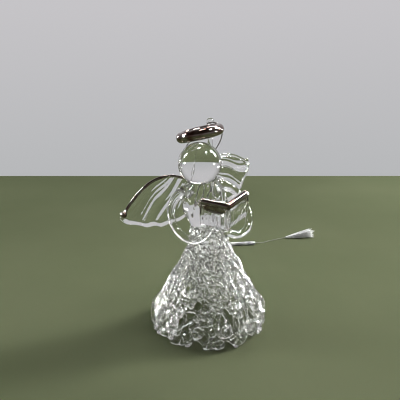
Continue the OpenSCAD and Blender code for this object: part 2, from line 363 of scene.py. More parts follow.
CLEAR = glass("clear_worked_glass", roughest=0.05, wave_scale=170, wave_depth=0.00012,
              painted_shade_start=0.62, edge=(0.12, 0.11, 0.09))
LENS = glass("solid_ball_glass", roughest=0.0, wave_scale=60, wave_depth=0.00003,
             painted_shade_start=0.6, edge=(0.05, 0.04, 0.03))
PRESSED = glass("pressed_wing_glass", roughest=0.06, wave_scale=240, wave_depth=0.0002,
                painted_shade_start=0.55, edge=(0.16, 0.15, 0.13))
SPUN = glass("spun_lace_glass", roughest=0.24, wave_scale=480, wave_depth=0.00014,
             painted_shade_start=0.76, edge=(0.32, 0.31, 0.29), smoothest=0.03)
MIRROR = silvered("silvered_glass")
# The threads are darker than real ones, because the lamps are strong against the dark table.
THREAD = fibre("nylon_thread", (0.15, 0.14, 0.13), (0.30, 0.29, 0.28), see_through=0.35, fine=900)
WHITE = fibre("white_thread", (0.24, 0.24, 0.24), (0.50, 0.50, 0.50), see_through=0.0, fine=2500)
WOUND = fibre("wound_white_thread", (0.12, 0.12, 0.13), (0.45, 0.45, 0.45), see_through=0.0, fine=700)
WORN = fibre("worn_white_thread", (0.08, 0.08, 0.07), (0.16, 0.16, 0.15), see_through=0.2, fine=2500)


# ---------------------------------------------------------------- camera

CAMERA_TURN = 25           # degrees; the camera stands on the figure's right
CAMERA_DOWN = 15.3         # degrees below level
CAMERA_PLACE = (-57.96, -119.98, 74.0)
FOCAL_LENGTH, SENSOR = 45, 36
NEAREST_SEEN, FARTHEST_SEEN = 0.002, 20     # metres


def add_camera():
    data = bpy.data.cameras.new("camera")
    data.lens = FOCAL_LENGTH
    data.sensor_width = SENSOR
    data.clip_start = NEAREST_SEEN
    data.clip_end = FARTHEST_SEEN
    camera = bpy.data.objects.new("camera", data)
    camera.location = np.array(CAMERA_PLACE) * MM
    camera.rotation_euler = (math.radians(90 - CAMERA_DOWN), 0, math.radians(-CAMERA_TURN))
    bpy.context.scene.collection.objects.link(camera)
    bpy.context.scene.camera = camera


# ---------------------------------------------------------------- thread

THREAD_D = 0.36
THREAD_REST = 0.2          # height of its middle where it lies on the table
LEFT_ROUTE = [
    (2.9, 3.9, 58.4), (2.8, 3.2, 58.5), (3.3, 2.5, 58.5), (4.2, 2.3, 58.3), (5.2, 2.7, 57.7),
    (6.2, 3.4, 56.7), (6.9, 4.4, 55.2), (7.1, 5.4, 53.5), (6.9, 6.4, 51.8), (6.2, 7.5, 49.8),
    (5.2, 8.4, 47.2), (4.1, 9, 43.5), (3.4, 9, 39.6), (3.2, 8.8, 35), (3.2, 8.5, 30.4), (3.2, 8.2, 26),
    (3.4, 8.6, 21.8), (3.9, 10.2, 17.4), (4.6, 12.6, 12.4), (5.4, 15.2, 7.2), (6.4, 17.6, 2.6),
    (7.8, 19.8, 0.6), (9.8, 22.4, 0.2), (12.6, 25.8, 0.2), (16.2, 30.2, 0.2), (20.2, 35.2, 0.2),
    (24.2, 40.2, 0.2), (27.8, 44.6, 0.2), (30.9, 48.6, 0.3), (32.6, 51.2, 0.6), (33.9, 53.1, 0.9),
    (35.3, 54, 1)]
RIGHT_ROUTE = [
    (2.9, 3.9, 58.4), (2.9, 4.6, 58.3), (2.9, 5.8, 57.7), (2.5, 7.4, 56.3), (1.1, 8.4, 54.8),
    (-0.8, 9, 52.8), (-2.2, 9.6, 50.5), (-2.4, 10, 47.8), (-1.4, 9.8, 44.8), (0, 9.4, 41.5),
    (1, 9.1, 38), (1.6, 8.8, 34), (1.9, 8.5, 30), (2, 8.2, 26), (2.2, 8.8, 21.8), (2.6, 10.5, 17.4),
    (3, 12.9, 12.4), (3.6, 15.5, 7.2), (4.5, 18, 2.6), (5.8, 20.4, 0.6), (7.6, 23, 0.2),
    (10.4, 26.6, 0.2), (14.2, 31, 0.2), (18.4, 36, 0.2), (22.6, 41, 0.2), (26.2, 45.4, 0.2),
    (29.4, 49.4, 0.3), (31.6, 52.2, 0.6), (33.4, 54.2, 0.9), (35.4, 54.8, 1)]
WRAP_ENDS = np.array([[35.4, 54.4, 1], [47.2, 50.4, 1]])
TAIL_ROUTE = [(47.25, 50.4, 1), (48.9, 50.4, 0.6), (51.2, 50.9, 0.2), (54.6, 51.6, 0.2),
              (58.4, 51.9, 0.2), (61.9, 51.7, 0.4), (63.6, 51.4, 0.6)]
TASSEL_ENDS = np.array([[63.6, 51.4, 0.6], [75.6, 48, 2.1]])
WRAP_R, WRAP_CORE, WRAP_TURNS, WRAP_THREAD_R = 0.95, 0.52, 26, 0.25
WRAP_SINKS = 0.2           # the wrap is slimmer than its CAD solid, and it rests on the table
TAIL_STRAND_R, TAIL_HALF_TURNS = 0.06, 9
TASSEL_W, TASSEL_STRANDS = 4.0, 110


def line_length(points):
    return float(np.linalg.norm(np.diff(points, axis=0), axis=1).sum())


def thread_curve(name, route, *nodes):
    """A strand as a round curve along its route, and its length in metres."""
    points = smooth_line(route, 5)
    points[:, 2] = np.maximum(points[:, 2], THREAD_REST)
    data = bpy.data.curves.new(name, "CURVE")
    data.dimensions = "3D"
    data.bevel_depth = THREAD_D / 2 * MM
    data.bevel_resolution = 3
    data.use_fill_caps = True
    spline = data.splines.new("POLY")
    spline.points.add(len(points) - 1)
    for point, place in zip(spline.points, points):
        point.co = (*(place * MM), 1)
    obj = bpy.data.objects.new(name, data)
    bpy.context.scene.collection.objects.link(obj)
    data.materials.append(THREAD)
    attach(obj, "root")
    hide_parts(*nodes)
    return obj, line_length(points) * MM


def add_wrap():
    """White thread wound tightly round the two strands."""
    shell = Shell()
    start, end = WRAP_ENDS
    along = (end - start) / np.linalg.norm(end - start)
    length = np.linalg.norm(end - start)
    s = np.linspace(0, 1, 40)
    waist = 1 - 0.14 * np.exp(-((s - 0.5) / 0.08) ** 2) - 0.08 * np.exp(-((s - 0.26) / 0.05) ** 2)
    core = rounded(40, WRAP_CORE * WRAP_R, 0.4, 0.05) * waist
    start = start - [0, 0, WRAP_SINKS]
    shell.add_tube(start + along * length * s[:, None], core, 20)
    steps = 24
    a = np.linspace(0.02, 0.98, WRAP_TURNS * steps)
    across = np.cross(along, [0, 0, 1])
    over = np.cross(across, along)
    reach = np.interp(a, s, core) * 0.99
    spin = 2 * math.pi * WRAP_TURNS * a
    path = (start + along * length * a[:, None]
            + across * (reach * np.cos(spin))[:, None] + over * (reach * np.sin(spin))[:, None])
    shell.add_tube(path, WRAP_THREAD_R, 8)
    return piece(shell.object("wound_wrap"), WOUND, "white_thread", "thread_wrap")


def add_tail():
    """The single end of the thread, two strands twisted together."""
    shell = Shell()
    centre = smooth_line(TAIL_ROUTE, 6)
    side, up = frames_along(centre, False)
    turn_by = np.linspace(0, TAIL_HALF_TURNS * math.pi, len(centre))
    for strand in range(2):
        a = turn_by + strand * math.pi
        offset = side * np.cos(a)[:, None] + up * np.sin(a)[:, None]
        shell.add_tube(centre + 0.05 * offset, TAIL_STRAND_R, 8)
    return piece(shell.object("twisted_tail"), WORN, "white_thread", "thread_tail")


def add_tassel():
    """Loose ends of the thread, tied at one end and spread flat at the other."""
    rng = np.random.default_rng(11)
    shell = Shell()
    start, end = TASSEL_ENDS
    along = (end - start) / np.linalg.norm(end - start)
    length = np.linalg.norm(end - start)
    across = np.cross(along, [0, 0, 1])
    across /= np.linalg.norm(across)
    over = np.cross(across, along)
    for _ in range(TASSEL_STRANDS):
        wide, high = rng.uniform(-1, 1), rng.uniform(-1, 1)
        reach = rng.uniform(0.8, 0.99)
        curl = rng.uniform(-0.35, 0.35)
        steps = np.linspace(0, 1, 12)
        spread = 0.12 + 0.88 * steps ** 0.9
        sideways = TASSEL_W / 2 * 0.9 * wide * spread + curl * np.sin(3 * steps) * steps
        upwards = TASSEL_W / 2 * 0.85 * high * spread
        points = (start + along * (length * reach * steps)[:, None]
                  + across * sideways[:, None] + over * upwards[:, None])
        points[:, 2] = np.maximum(points[:, 2], 0.08)
        shell.add_tube(points, np.linspace(0.09, 0.05, 12), 5)
    knot = np.linspace(-0.04, 0.1, 9)
    knot_radii = 0.42 * np.sin(np.pi * np.linspace(0.1, 0.9, 9))
    shell.add_tube(start + along * (length * knot)[:, None], knot_radii, 14)
    return piece(shell.object("frayed_tassel"), WHITE, "white_thread", "tassel")


def add_thread():
    """One loop of thread: two strands from the eyelet to the wrap, which holds the tail and tassel."""
    wrap, tail, tassel = add_wrap(), add_tail(), add_tassel()
    left, left_length = thread_curve("left_strand", LEFT_ROUTE, "thread_left")
    right, right_length = thread_curve("right_strand", RIGHT_ROUTE, "thread_right")


# ---------------------------------------------------------------- upper figure

TORSO_R, CHEST_R, CHEST_H, NECK_R, TORSO_TOP, PIVOT_R = 3.6, 6.5, 11.0, 2.4, 17.4, 4.2
HEAD_SEAT = math.radians(40)     # how far round the head's underside the bodice reaches
RIGHT_ARM = [(-3, 0.8, 14.6), (-5.8, 0.1, 15.2), (-8.6, -0.7, 14), (-10.6, -1.7, 11.8),
             (-11.3, -3, 9.2), (-11, -5, 6.6), (-9.6, -6.7, 4.7), (-7.6, -7.7, 3.9),
             (-5.6, -7.9, 4.1), (-3.9, -7.6, 4.9)]
LEFT_ARM = [(3, 0.8, 14.2), (5.8, 0.1, 14.6), (8.6, -0.7, 13), (10.4, -1.7, 10.4),
            (11.2, -2.8, 7.6), (11, -4.2, 4.8), (9.7, -5.6, 2.8), (7.8, -6.7, 1.9),
            (5.4, -7.4, 1.9), (3.2, -7.6, 2.9)]
ARM_R, SHOULDER_R, HAND = 1.05, 2.0, 2.2
SEEDS = 16                 # small air bubbles in the chest
WAIST_STRANDS, WAIST_LOOPS, WAIST_VOXEL = 3, 17, 0.15


AIR_LINE = [(-0.6, -1.2, 3.4), (-0.9, -1.4, 1.6), (-1.1, -1.5, 0.2), (-1.35, -1.4, -1.2),
            (-1.6, -1.2, -2.4), (-1.8, -0.9, -3.6)]     # inside the head, from its centre


def add_head():
    """A ball of solid glass, not quite round, with one fine line of air drawn down in it."""
    shell = Shell()
    verts, faces = ball((0, 0, 0), 1, 6)
    dents = 1 + np.sin(2.1 * verts[:, 0] + 1) * np.cos(1.7 * verts[:, 2] + verts[:, 1])
    shell.add(verts * (HEAD_R * (1 - 0.006 * dents))[:, None] + HEAD, faces)
    line = smooth_line(AIR_LINE, 8)
    down = np.linspace(0, 1, len(line))
    width = 0.09 + 0.2 * np.exp(-((down - 0.62) / 0.17) ** 2)
    path = turn(line, -CAMERA_TURN, "Z") + HEAD
    shell.add_air(*tube(path, width * rounded(len(line), 1, 0.2), 12))
    return piece(shell.object("head_ball"), LENS, "clear_glass", "head")


def torso_radius(h):
    """Pivot ball, then a barrel that swells up to the chest and rounds in to the neck."""
    low = TORSO_R + (CHEST_R - TORSO_R) * (1 - np.cos(np.pi * h / CHEST_H)) / 2
    share = np.clip((h - CHEST_H) / (TORSO_TOP - CHEST_H), 0, 1)
    high = NECK_R + (CHEST_R - NECK_R) * np.sqrt(1 - share ** 2)
    ball_r = np.sqrt(np.maximum(PIVOT_R ** 2 - h ** 2, 0))
    return np.maximum(np.where(h < CHEST_H, np.where(h < 0, 0, low), high), ball_r)


def add_bodice():
    """Barrel of solid glass on its pivot ball, hollowed at the top to fit the head."""
    cup = np.linspace(HEAD_SEAT, 0.02, 14)
    rim = HEAD_H - HEAD_R * math.cos(HEAD_SEAT)
    heights = np.concatenate([-PIVOT_R * np.cos(np.linspace(0.02, np.pi / 2, 22)),
                              np.linspace(0.15, rim - 0.25, 70)])
    radii = torso_radius(heights)
    seat = (HEAD_R + 0.01) * np.stack([np.sin(cup), -np.cos(cup)], -1) + [0, HEAD_H]
    lip = smooth_line([[radii[-1], heights[-1]], [seat[0][0] + 0.2, rim - 0.05], seat[0]], 5)[1:-1]
    profile = np.concatenate([np.stack([radii, heights], -1), lip, seat])
    across = np.linspace(0, 2 * np.pi, 97)[:-1]
    r, a = np.meshgrid(profile[:, 0], across, indexing="ij")
    h = np.broadcast_to(profile[:, 1][:, None], r.shape)
    worked = 0.978 + 0.012 * np.cos(5 * a + 0.35 * h) + 0.01 * np.cos(11 * a - 0.9 * h + 1)
    worked = np.where(h < rim - 0.3, worked, 1)
    verts = np.stack([r * worked * np.cos(a), r * worked * np.sin(a), h], -1).reshape(-1, 3)
    n, m = len(profile), len(across)
    faces = [[i * m + k, i * m + (k + 1) % m, (i + 1) * m + (k + 1) % m, (i + 1) * m + k]
             for i in range(n - 1) for k in range(m)]
    faces += [list(range(m))[::-1], [(n - 1) * m + k for k in range(m)]]
    shell = Shell()
    shell.add(upper(verts), faces)
    rng = np.random.default_rng(8)
    for _ in range(SEEDS):
        a, r, h = rng.uniform(0, 2 * np.pi), rng.uniform(2.2, 4.4), rng.uniform(9.5, 14)
        size = rng.uniform(0.12, 0.34)
        shell.add_air(*ball(upper([[r * np.cos(a), r * np.sin(a), h]])[0], size, 2, (1, 1, 1.3)))
    return piece(shell.object("bodice_glass"), CLEAR, "clear_glass", "bodice")


def add_arm(name, route, arm_node, hand_node):
    """Bent rod, thick at the shoulder and with a drop of glass for a hand."""
    path = smooth_line(route, 8)
    end = path[-1] + (path[-1] - path[-2]) / np.linalg.norm(path[-1] - path[-2]) * HAND
    path = np.concatenate([path, smooth_line([path[-1], end], 8)[1:]])
    s = np.linspace(0, 1, len(path))
    radii = ARM_R * (1 + 0.05 * np.sin(9 * s + 0.6) + 0.03 * np.sin(23 * s))
    radii += (SHOULDER_R - ARM_R) * np.clip(1 - s / 0.3, 0, 1) ** 1.5
    share = np.clip((s - 0.93) / 0.07, 0, 1)
    radii *= (1 + 0.18 * np.sin(np.pi * share)) * np.sqrt(1 - 0.88 * share ** 3)
    shell = Shell()
    shell.add_tube(upper(path), radii, 28)
    return piece(shell.object(name), CLEAR, "clear_glass", arm_node, hand_node)


def add_waist():
    """Fine loops of spun glass laid round the waist over the bodice."""
    rng = np.random.default_rng(5)
    shell = Shell()
    for strand in range(WAIST_STRANDS):
        phi = np.linspace(0, 2 * np.pi * WAIST_LOOPS, WAIST_LOOPS * 14, endpoint=False)
        a = phi / WAIST_LOOPS + 0.17 * np.sin(phi) + strand * 2.1
        h = 2.1 + 0.9 * strand + 0.75 * np.cos(phi + 0.6 * strand)
        h = h + 0.35 * wander(rng, len(phi), 7, 40)
        r = 4.9 - 0.16 * (h - 1.3) + 0.28 * np.sin(phi + 1.2)
        path = np.stack([r * np.cos(a), r * np.sin(a), h], -1)
        shell.add_tube(upper(path), 0.36 * (1 + 0.2 * wander(rng, len(phi))), 8, True)
    obj = shell.object("waist_lace")
    fuse(obj, WAIST_VOXEL)
    return piece(obj, SPUN, "spun_glass", "waist_band")


# ---------------------------------------------------------------- halo

HALO_AT, HALO_R, HALO_TUBE, HALO_TILT, HALO_ROLL = (1.2, 0, 30), 5.15, 1.5, -6, -4
POST_FOOT, POST_HEAD, POST_R = np.array([4.3, 1.9, 25.2]), np.array([5.5, 2.2, 31.3]), 0.9
EYE_AT, EYE_R, EYE_TUBE, EYE_TURN = (5.6, 2.2, 32.3), 0.7, 0.32, -20


def add_halo():
    a = np.linspace(0, 2 * np.pi, 161)[:-1]
    r = HALO_R + 0.05 * np.sin(3 * a + 0.5)
    path = np.stack([r * np.cos(a), r * np.sin(a), 0.06 * np.sin(2 * a)], -1)
    path = turn(turn(path, HALO_TILT, "X"), HALO_ROLL, "Y") + HALO_AT
    shell = Shell()
    shell.add_tube(upper(path), HALO_TUBE * (0.985 + 0.015 * np.sin(4 * a + 2)), 48, True)
    return piece(shell.object("halo_ring"), MIRROR, "silvered_glass", "halo")


def add_post():
    s = np.linspace(0, 1, 40)[:, None]
    bow = np.array([0.25, 0.1, 0]) * np.sin(np.pi * s)
    path = POST_FOOT + (POST_HEAD - POST_FOOT) * s + bow
    radii = POST_R * (1 - 0.3 * np.sin(np.pi * s[:, 0])) * rounded(40, 1, 0.5, 0.08)
    shell = Shell()
    shell.add_tube(upper(path), radii, 24)
    return piece(shell.object("halo_stem"), CLEAR, "clear_glass", "halo_post")


def add_eyelet():
    a = np.linspace(0, 2 * np.pi, 49)[:-1]
    ring = np.stack([EYE_R * np.cos(a), EYE_R * np.sin(a), 0 * a], -1)
    path = turn(turn(ring, 90, "X"), EYE_TURN, "Z") + EYE_AT
    shell = Shell()
    shell.add_tube(upper(path), EYE_TUBE * (1 + 0.1 * np.cos(a)), 16, True)
    return piece(shell.object("eyelet_ring"), CLEAR, "clear_glass", "hanging_eyelet")


# ---------------------------------------------------------------- book

BOOK_TOP, BOOK_TILT, BOOK_TURN, LEAF_ANGLE = (0.6, -13.1, 11.7), 32, -14, 30
LEAF_W, LEAF_LEN, LEAF_T, RIM_R, SPINE_R = 7.8, 9.0, 1.1, 0.95, 0.7
LEAF_START, LEAF_ROUND, LEAF_GROOVES = 0.35, 0.45, 5
RUN_AT, RUN_SIZE = (3.7, -0.1, -1.5), (3.1, 0.35, 1.3)     # silver run down from one rod


def on_book(points):
    return upper(turn(turn(points, BOOK_TILT, "X"), BOOK_TURN, "Z") + BOOK_TOP)


def add_leaf(name, side, node):
    """A page-thick slab with rounded edges, a slight bow and shallow grooves down its open face."""
    wide, tall = 60, 40
    u = np.linspace(0, 1, wide)
    v = np.linspace(0, 1, tall)
    uu, vv = np.meshgrid(u, v, indexing="ij")
    x = LEAF_START + (LEAF_W - 0.4) * uu
    z = -LEAF_LEN + (LEAF_LEN - 0.3) * vv
    edge = np.minimum(np.minimum(1 - uu, uu + 0.3) * LEAF_W, vv * LEAF_LEN) / LEAF_ROUND
    edge = np.sqrt(1 - (1 - np.clip(edge, 0, 1)) ** 2)
    bow = 0.12 * np.sin(np.pi * uu)
    groove = 0.07 * np.maximum(np.cos(2 * np.pi * LEAF_GROOVES * uu), 0) ** 6
    swell = 0.55 * np.sin(np.pi * np.clip(vv * 1.06, 0, 1)) * edge
    front = LEAF_T * (0.5 - 0.47 * edge) + bow + groove - swell
    back = LEAF_T * (0.5 + 0.47 * edge) + bow * 0.4 + 0.4 * swell
    sheets = []
    for y in (front, back):
        flat = np.stack([side * x, y, z], -1).reshape(-1, 3)
        sheets.append(turn(flat, side * LEAF_ANGLE, "Z"))
    shell = Shell()
    shell.add(on_book(np.concatenate(sheets)), slab_faces(wide, tall))
    return piece(shell.object(name), PRESSED, "clear_glass", node)


def add_rim(name, side, node, down, run):
    """Silvered rod along a leaf's top edge, and thinner part way down its outer edge."""
    route = [(0.2, 0.55, 0), (2.4, 0.6, 0.02), (4.8, 0.62, 0), (LEAF_W - 0.5, 0.58, 0)]
    path = smooth_line(route, 12)
    path = np.concatenate([path, [(LEAF_W - 0.1, 0.56, 0)]])
    shell = Shell()
    radii = rounded(len(path), RIM_R, 0.35, 0.05)
    radii[: len(path) // 2] = RIM_R
    path[:, 0] *= side
    shell.add_tube(on_book(turn(path, side * LEAF_ANGLE, "Z")), radii, 28)
    drop = smooth_line([(LEAF_W - 0.5, 0.5, 0), (LEAF_W - 0.3, 0.5, -0.3 * down),
                        (LEAF_W - 0.28, 0.5, -0.7 * down), (LEAF_W - 0.3, 0.5, -down)], 10)
    drop[:, 0] *= side
    thin = np.linspace(0.5, 0.18, len(drop))
    shell.add_tube(on_book(turn(drop, side * LEAF_ANGLE, "Z")), thin, 16)
    if run:
        verts, faces = ball((side * RUN_AT[0], *RUN_AT[1:]), 1, 4, RUN_SIZE)
        shell.add(on_book(turn(verts, side * LEAF_ANGLE, "Z")), faces)
    return piece(shell.object(name), MIRROR, "silvered_glass", node)


def add_spine():
    path = smooth_line([(0, 0.55, -LEAF_LEN), (0, 0.55, -5), (0, 0.55, -2), (0, 0.55, SPINE_R)], 14)
    shell = Shell()
    shell.add_tube(on_book(path), rounded(len(path), SPINE_R, 0.3, 0.07), 24)
    return piece(shell.object("book_hinge"), CLEAR, "clear_glass", "book_spine")


# ---------------------------------------------------------------- wings

WING_ROOT = (2.9, 4.4, 17.7)
FRONT = [(0, 0), (3, 2.6), (6, 3.7), (9, 3.9), (12, 3.4), (15, 2.4), (17.6, 1.2), (19.4, 0.2)]
BACK = [(0.2, -5.4), (2, -8), (4.4, -9.4), (7.6, -9.9), (10, -9.2), (12.8, -8.8), (14.2, -7.6),
        (16.4, -6.8), (17.6, -5.6), (18.8, -4.5), (20.9, -2.9), (21.6, -0.9)]
ROD_R, TIP_R, TIP_REACH = 0.55, 0.95, 0.78
BLADE_DROP = 0.35          # the blade's front edge runs this far below the middle of the rod
BLADE_VOXEL, ROD_VOXEL = 0.11, 0.09
# For each feather, from the root's lower corner round to the leading edge: where across the
# wing it ends, and how far each of its faces swells
RIGHT_FEATHERS = ((0.12, 0.14), (0.24, 0.19), (0.36, 0.22), (0.48, 0.26), (0.68, 0.44), (1.0, 0.36))
LEFT_FEATHERS = ((0.2, 0.16), (0.48, 0.46), (0.78, 0.46), (1.0, 0.26))
RIGHT_FAN, LEFT_FAN = (-14.0, 9.0), (-8.0, 6.5)     # the feathers spread from these points
RIPPLE = 0.028             # fine ridges along the feathers


def along_line(points, count):
    """The line through the points, cut into equal steps."""
    line = smooth_line(points, 12)
    at = np.concatenate([[0], np.cumsum(np.linalg.norm(np.diff(line, axis=0), axis=1))])
    want = np.linspace(0, at[-1], count)
    return np.stack([np.interp(want, at, line[:, i]) for i in range(line.shape[1])], -1)


def wing_place(side, sweep, droop):
    """Where a wing that was drawn flat goes: drooped and swept back by degrees, on its own side."""
    def place(points):
        p = turn(turn(points, droop, "Y"), sweep, "Z") + WING_ROOT
        p[:, 0] *= side
        return upper(p)
    return place


def add_wing(name, place, chord, feathers, fan, node):
    """Pressed blade: feathers fan out from the root, with a thick wavy rim on the far edge."""
    wide, deep = 110, 70
    front = along_line(FRONT, wide)
    front[:, 1] -= BLADE_DROP
    back = along_line([(x, y * chord) for x, y in BACK], wide)
    v = np.linspace(0, 1, deep)[None, :, None]
    flat = front[:, None, :] * (1 - v) + back[:, None, :] * v
    angle = np.arctan2(flat[..., 1] - fan[1], flat[..., 0] - fan[0])
    share = (angle - angle.min()) / (angle.max() - angle.min())
    share = share + 0.012 * np.sin(0.55 * flat[..., 0] + 7 * share)
    ends = np.array([0] + [end for end, _ in feathers])
    which = np.clip(np.searchsorted(ends, share, side="right") - 1, 0, len(feathers) - 1)
    across = np.clip((share - ends[which]) / (ends[which + 1] - ends[which]), 0, 1)
    swell = np.array([full for _, full in feathers])[which]
    u = np.linspace(0, 1, wide)[:, None]
    dome = swell * (1 - (2 * across - 1) ** 2) ** 0.8 * (0.92 + 0.08 * np.sin(0.9 * flat[..., 0] + 2))
    dome = dome + RIPPLE * np.sin(88 * share + 1.6 * np.sin(0.45 * flat[..., 0]))
    chord_here = np.linalg.norm(front - back, axis=1)[:, None]
    from_edge = (1 - v[..., 0]) * chord_here
    rim_w = 0.45 + 0.95 * np.sin(np.pi * np.clip(u, 0.02, 0.98) ** 1.4) ** 0.7
    rim = 0.08 + 0.42 * np.minimum(from_edge, rim_w) - 0.9 * np.maximum(from_edge - rim_w, 0)
    half = np.maximum(np.minimum(0.22 + dome, 0.1 + 0.36 * from_edge), rim)
    half = half * np.clip(8 * np.minimum(u, 1.02 - u) + 0.3, 0, 1)
    camber = 0.1 * np.sin(np.pi * v[..., 0]) * np.ones_like(u)
    shell = Shell()
    sheets = [np.stack([flat[..., 0], camber + s * half, flat[..., 1]], -1).reshape(-1, 3)
              for s in (-1, 1)]
    shell.add(place(np.concatenate(sheets)), slab_faces(wide, deep))
    border = np.concatenate([back, [[20.6, -0.4]]])
    s = np.linspace(0, 1, len(border))
    border = np.stack([border[:, 0], 0 * s, border[:, 1] + 0.35], -1)
    shell.add_tube(place(border), 0.16 + 0.06 * np.sin(np.pi * s), 14)
    obj = shell.object(name)
    fuse(obj, BLADE_VOXEL, 3)
    return piece(obj, PRESSED, "clear_glass", node)


def add_wing_rod(name, place, material, slot, rod_node, tip_node):
    """Leading edge of a wing, thicker towards the bead at its tip."""
    steps = 80
    line = along_line(FRONT, steps)
    path = np.stack([line[:, 0], 0 * line[:, 0], line[:, 1]], -1)
    s = np.linspace(0, 1, steps)
    taper = (0.55 + 0.45 * s ** 0.7) * (0.8 + 0.2 * np.sin(np.pi * s))
    shell = Shell()
    shell.add_tube(place(path), ROD_R * taper * rounded(steps, 1, 0.4, 0.02), 18)
    last = path[-1] - path[-4]
    middle = path[-1] + last / np.linalg.norm(last) * TIP_REACH
    shell.add(*ball(place(middle[None])[0], TIP_R, 4))
    obj = shell.object(name)
    fuse(obj, ROD_VOXEL)
    return piece(obj, material, slot, rod_node, tip_node)


# ---------------------------------------------------------------- skirt

LACE_T = 1.4
HEM_FEET = 11
HEM_ROD_R = 0.5
FOLDS = 6
FOLD_TURN = math.radians(FOLDS * CAMERA_TURN)
BULGE_TURN = math.radians(155)       # the skirt stands out most on the figure's right
LOBES = {6: 0.3, 7: 0.7, 8: 1.1}     # how far the feet of the hem pull each row up and down
ROSETTE_TURN = math.radians(-85)     # the camera looks into a gap between coils
ROSETTE_TURNS = 3.8
# For each row that has them: how many rosettes, and how high they lie
ROSETTES = {8: (14, 2.6), 7: (12, 5.6), 6: (11, 8.8), 5: (10, 12.2), 4: (8, 15.2)}
LAST_CLOSE_ROW = 6                   # down to this row a second, finer filament fills the lace
FIRST_ROW_WITH_DROPS = 4


LACE_TOP_R = 5.6           # the lace's radius at the waist
row_heights = [row_boxes[row][0][2] for row in reversed(ROWS)] + [WAIST[2]]
row_radii = [(row_boxes[row][1][0] - row_boxes[row][0][0]) / 2 for row in reversed(ROWS)]
row_radii += [LACE_TOP_R]


def skirt_radius(z):
    return np.interp(z, row_heights[1:], row_radii[1:])


def lace_strand(shell, rng, z_mid, loop_w, loop_h, thick, reach, spacing, lobe=0.0):
    """One closed filament that runs round the skirt in loops, as cursive e's."""
    radius = skirt_radius(z_mid)
    loops = int(round(2 * np.pi * radius / spacing))
    count = loops * 18
    phi = np.linspace(0, 2 * np.pi * loops, count, endpoint=False)
    fast = max(5, int(loops * 0.8))
    size = 1 + 0.38 * wander(rng, count, 7, fast)
    slide = 0.3 * wander(rng, count, 7, fast)
    a = phi / loops + rng.uniform(0, 6.28) + loop_w * (0.5 * size * np.sin(phi) + slide) / radius
    z = z_mid + loop_h / 2 * size * np.cos(phi + 0.6 * wander(rng, count)) \
        + 0.2 * loop_h * wander(rng, count, 7, loops)
    feet = np.cos(HEM_FEET * a)
    z = z + lobe * feet
    z = np.maximum(z, thick * 1.1 + 0.06)
    low = (WAIST[2] - z) / WAIST[2]
    folds = low ** 2 * (0.5 * np.cos(FOLDS * a + FOLD_TURN) + 0.25 * np.sin(3 * a + 2)) \
        - 0.35 * low ** 3 * feet + 0.35 * np.exp(-((z - 5.5) / 2.5) ** 2) \
        + 0.7 * low ** 2 * np.maximum(np.cos(a - BULGE_TURN), 0) ** 3
    r = skirt_radius(z) - LACE_T / 2 + folds + reach * np.sin(phi + rng.uniform(0, 6.28)) \
        + 0.35 * reach * wander(rng, count, 7, loops)
    path = np.stack([r * np.cos(a), r * np.sin(a), z], -1) + [WAIST[0], WAIST[1], 0]
    radii = thick * (1 + 0.25 * wander(rng, count, 9, loops * 2))
    shell.add_tube(path, radii, 8, True)


def add_hem_rod(shell, rng):
    """Thicker rod that goes up and down round the hem, from foot to foot."""
    count = 440
    a = np.linspace(0, 2 * np.pi, count, endpoint=False)
    feet = np.cos(HEM_FEET * a + 0.5 * wander(rng, count, 5, 5))
    z = 0.62 + 0.95 * (1 + feet) + 0.12 * wander(rng, count, 7, 40)
    r = skirt_radius(z) - 0.75 - 0.35 * feet + 0.2 * wander(rng, count, 7, 12)
    path = np.stack([r * np.cos(a), r * np.sin(a), np.maximum(z, 0.6)], -1)
    radii = HEM_ROD_R * (1 + 0.16 * wander(rng, count, 7, 30))
    shell.add_tube(path + [WAIST[0], WAIST[1], 0], radii, 10, True)


def add_drops(shell, rng, low, high, count, thick):
    """Drops of glass where the filament was touched down."""
    for _ in range(count):
        a, z = rng.uniform(0, 2 * np.pi), rng.uniform(low + 0.6, high)
        r = skirt_radius(z) - LACE_T / 2 + rng.uniform(-0.2, 0.4)
        size = thick * rng.uniform(1.3, 2.0)
        centre = np.array([r * np.cos(a) + WAIST[0], r * np.sin(a) + WAIST[1], max(z, size + 0.05)])
        shell.add(*ball(centre, size, 2, (1, 1, rng.uniform(0.8, 1.3))))


def add_rosettes(shell, rng, row, thick):
    """Filament coiled flat on the skirt, with gaps left between the coils."""
    count = 100
    coils, row_z = ROSETTES[row]
    s = np.linspace(0, 1, count)
    for k in range(coils):
        middle = 2 * np.pi * (k + 0.5 * (row % 2)) / coils + ROSETTE_TURN + rng.uniform(-0.08, 0.08)
        height = row_z + rng.uniform(-0.5, 0.5)
        spin = 2 * np.pi * ROSETTE_TURNS * s + rng.uniform(0, 6.28)
        reach = (0.25 + 1.6 * s) * rng.uniform(0.85, 1.15)
        z = np.maximum(height + reach * np.sin(spin) * 1.05, thick * 1.2)
        r = skirt_radius(z) - LACE_T / 2 + 1.0 - 0.8 * s + 0.25 * np.sin(5 * spin)
        a = middle + reach * np.cos(spin) / skirt_radius(height)
        path = np.stack([r * np.cos(a), r * np.sin(a), z], -1) + [WAIST[0], WAIST[1], 0]
        shell.add_tube(path, thick * rounded(count, 1, 0.5) * (1 + 0.2 * np.sin(3.7 * spin)), 8)


def lace_voxel(number):
    """The size at which a row's filament is melted together; the fuller rows take a coarser one."""
    if number > 6:
        return 0.17
    return 0.15 if number > 4 else 0.12


